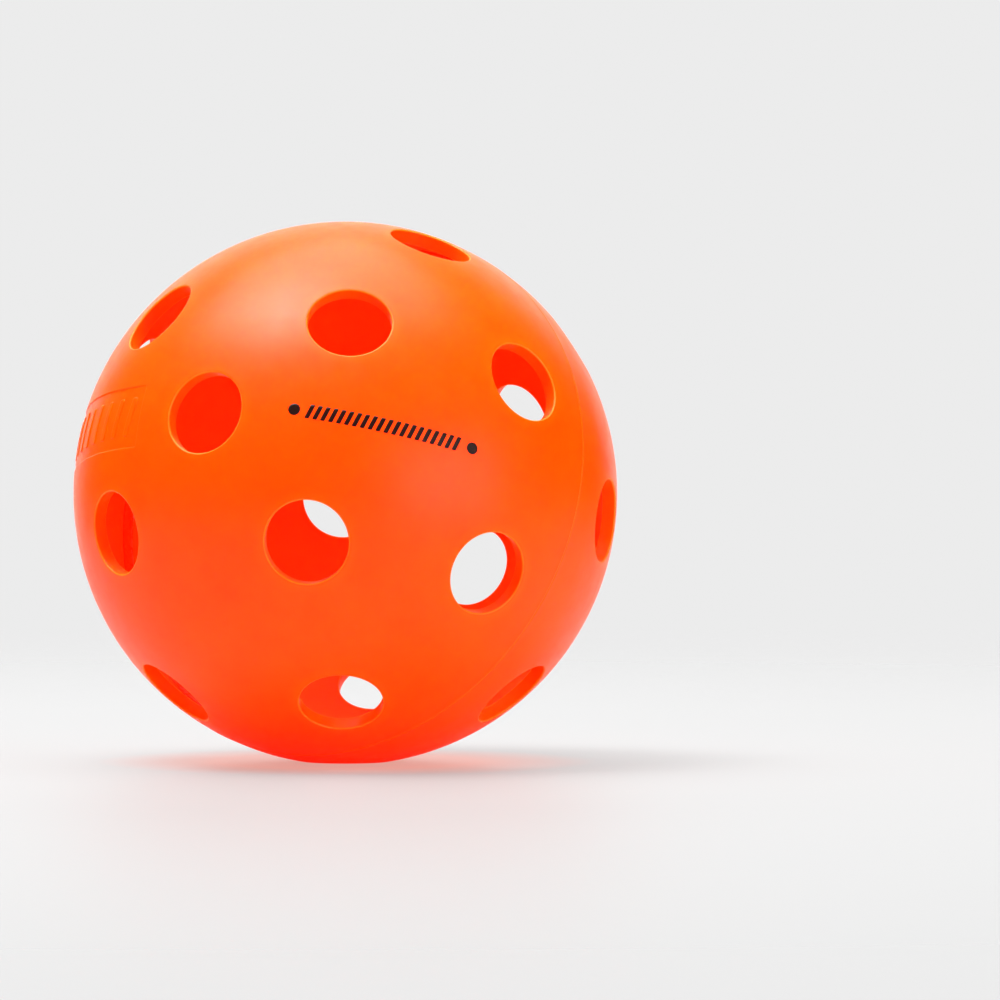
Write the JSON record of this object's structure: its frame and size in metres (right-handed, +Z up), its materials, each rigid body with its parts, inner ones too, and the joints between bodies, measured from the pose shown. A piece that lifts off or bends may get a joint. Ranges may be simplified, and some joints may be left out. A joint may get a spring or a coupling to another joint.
{
  "type": "pickleball ball",
  "caption": "Hollow perforated plastic ball for pickleball, two moulded half shells welded along a seam, satin orange.",
  "frame": {"origin": "centre of the ball, which is its centre of mass", "axes": "+Z up as the ball stands on the rim of a hole, -Z through that hole; the mould axis points to -Y and 18 degrees up, so the front half is on -Y; +X to the right seen from -Y"},
  "size_m": [0.074, 0.074, 0.0735],
  "materials": {
    "shell_plastic": "satin moulded polyethylene, slightly translucent",
    "weld_plastic": "satin, squeezed out at the weld",
    "print_ink": "thin black printed marking"
  },
  "bodies": {
    "root": {"front_half_shell": "shell_plastic", "rear_half_shell": "shell_plastic", "weld_bead": "weld_plastic"}
  },
  "joints": []
}
